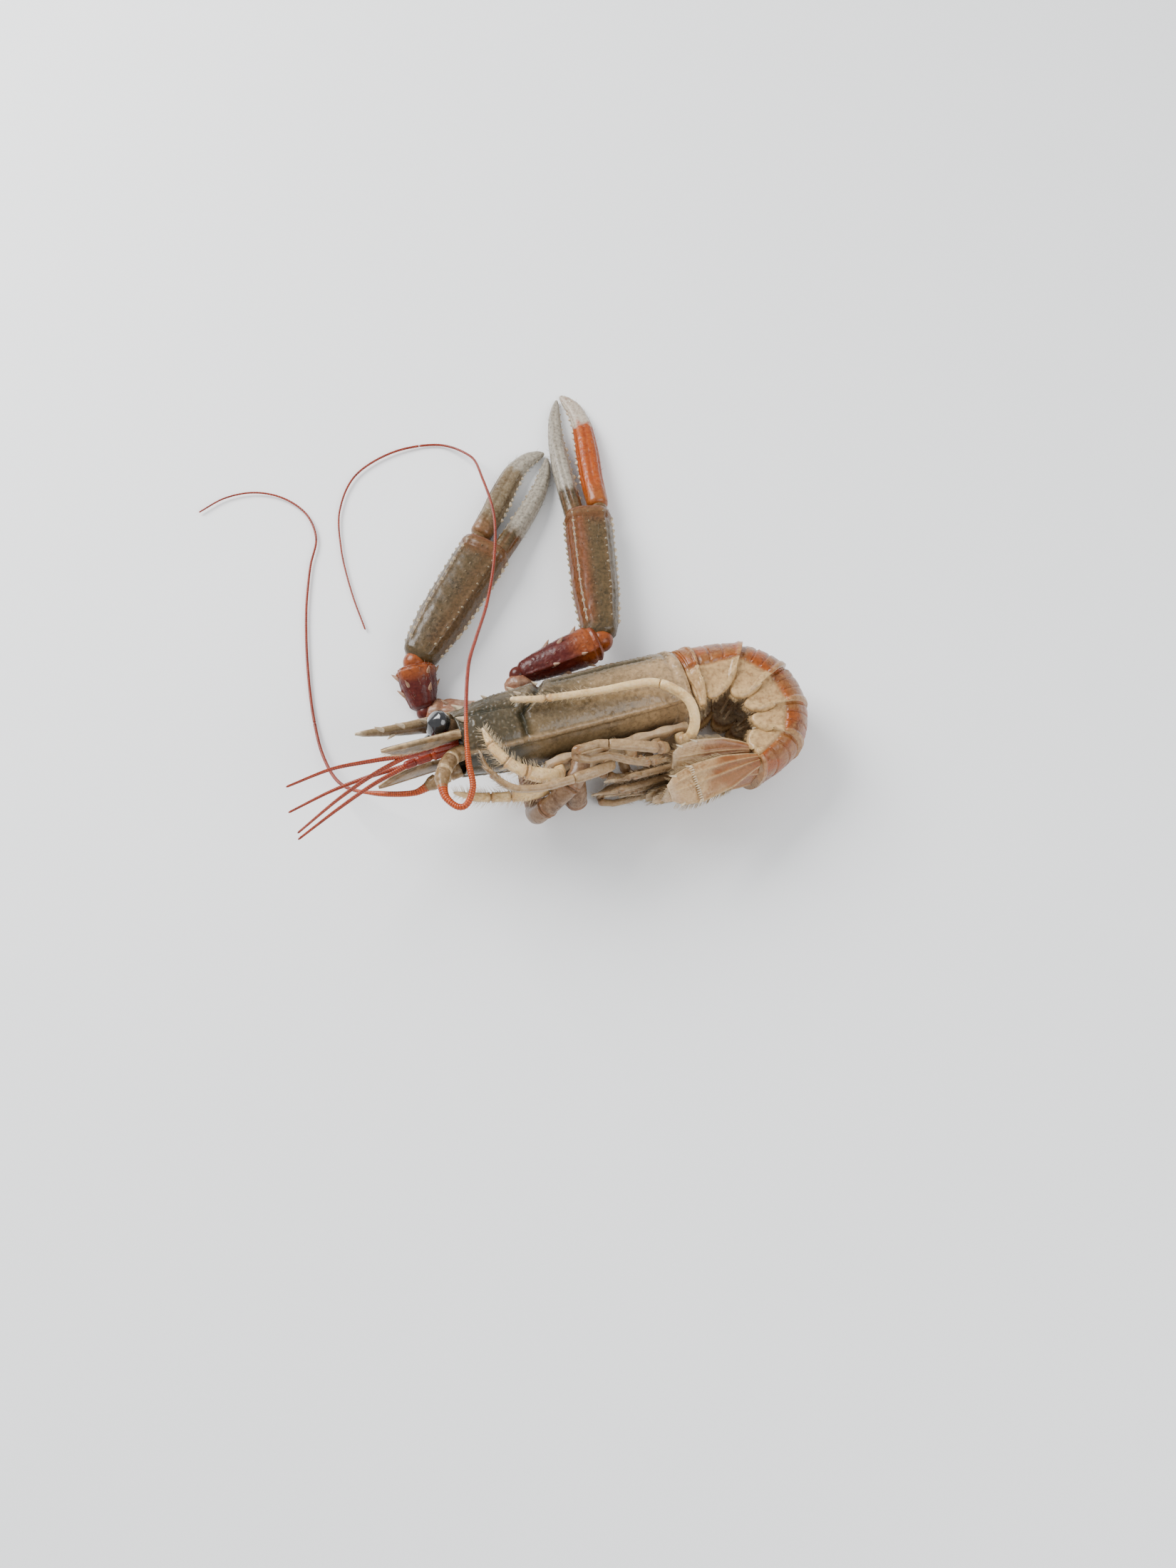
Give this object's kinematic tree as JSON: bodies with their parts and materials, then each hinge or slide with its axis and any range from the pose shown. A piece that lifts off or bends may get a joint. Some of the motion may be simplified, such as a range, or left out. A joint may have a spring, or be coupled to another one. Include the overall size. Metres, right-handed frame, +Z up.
{
  "type": "norway lobster",
  "caption": "Norway lobster as a still life-size display model, lying on its side with the tail curled under, slender claws stretched out and long feelers sweeping round.",
  "frame": {"origin": "centre of the footprint, on the floor that the animal lies on", "axes": "+Z up from the floor; +Y towards the claw tips, away from the picture's camera; +X towards the tail"},
  "size_m": [0.1422, 0.1248, 0.0347],
  "materials": {
    "carapace_shell": "wet half-clear shell, olive beige with orange",
    "tail_shell": "wet half-clear shell, beige with orange spots and cream edges",
    "tail_fan": "wet shell blades, speckled brown and orange",
    "pale_underside": "cream shell, wet",
    "walking_leg": "cream shell with faint orange bands, wet",
    "mouth_limb": "cream shell, wet",
    "claw_base_shell": "pale shell, wet",
    "merus_shell": "pale mauve and orange shell, wet",
    "carpus_shell": "deep red brown to orange shell, wet",
    "palm_shell": "olive brown shell with cream tubercles, wet",
    "finger_shell": "orange shell with a pale tip, wet",
    "feeler": "orange red, ringed",
    "antennule": "pale shell with red lashes",
    "antenna_base": "pale orange shell, wet",
    "antennal_scale": "thin olive and orange shell, wet",
    "eye": "glossy black"
  },
  "bodies": {
    "root": {"carapace": "carapace_shell", "thorax_underside": "pale_underside", "eye_left": "eye", "eye_right": "eye", "antennule_left": "antennule", "antennule_right": "antennule", "antennal_scale_left": "antennal_scale", "antennal_scale_right": "antennal_scale", "antenna_base_left": "antenna_base", "antenna_base_right": "antenna_base", "feeler_near_left": "feeler", "feeler_near_right": "feeler", "feeler_middle_left": "feeler", "feeler_middle_right": "feeler", "feeler_far_left": "feeler", "feeler_far_right": "feeler", "maxilliped_left": "mouth_limb", "maxilliped_right": "mouth_limb", "claw_base_left": "claw_base_shell", "claw_base_right": "claw_base_shell", "merus_left": "merus_shell", "merus_right": "merus_shell", "carpus_left": "carpus_shell", "carpus_right": "carpus_shell", "palm_left": "palm_shell", "palm_right": "palm_shell", "movable_finger_left": "finger_shell", "movable_finger_right": "finger_shell", "leg_2_left_upper": "walking_leg", "leg_2_left_lower": "walking_leg", "leg_2_right_upper": "walking_leg", "leg_2_right_lower": "walking_leg", "leg_3_left_upper": "walking_leg", "leg_3_left_lower": "walking_leg", "leg_3_right_upper": "walking_leg", "leg_3_right_lower": "walking_leg", "leg_4_left_upper": "walking_leg", "leg_4_left_lower": "walking_leg", "leg_4_right_upper": "walking_leg", "leg_4_right_lower": "walking_leg", "leg_5_left_upper": "walking_leg", "leg_5_left_lower": "walking_leg", "leg_5_right_upper": "walking_leg", "leg_5_right_lower": "walking_leg", "tail_segment_1": "tail_shell", "tail_segment_2": "tail_shell", "tail_segment_3": "tail_shell", "tail_segment_4": "tail_shell", "tail_segment_5": "tail_shell", "tail_segment_6": "tail_shell", "telson": "tail_fan", "uropod_inner_left": "tail_fan", "uropod_inner_right": "tail_fan", "uropod_outer_left": "tail_fan", "uropod_outer_right": "tail_fan"}
  },
  "joints": []
}
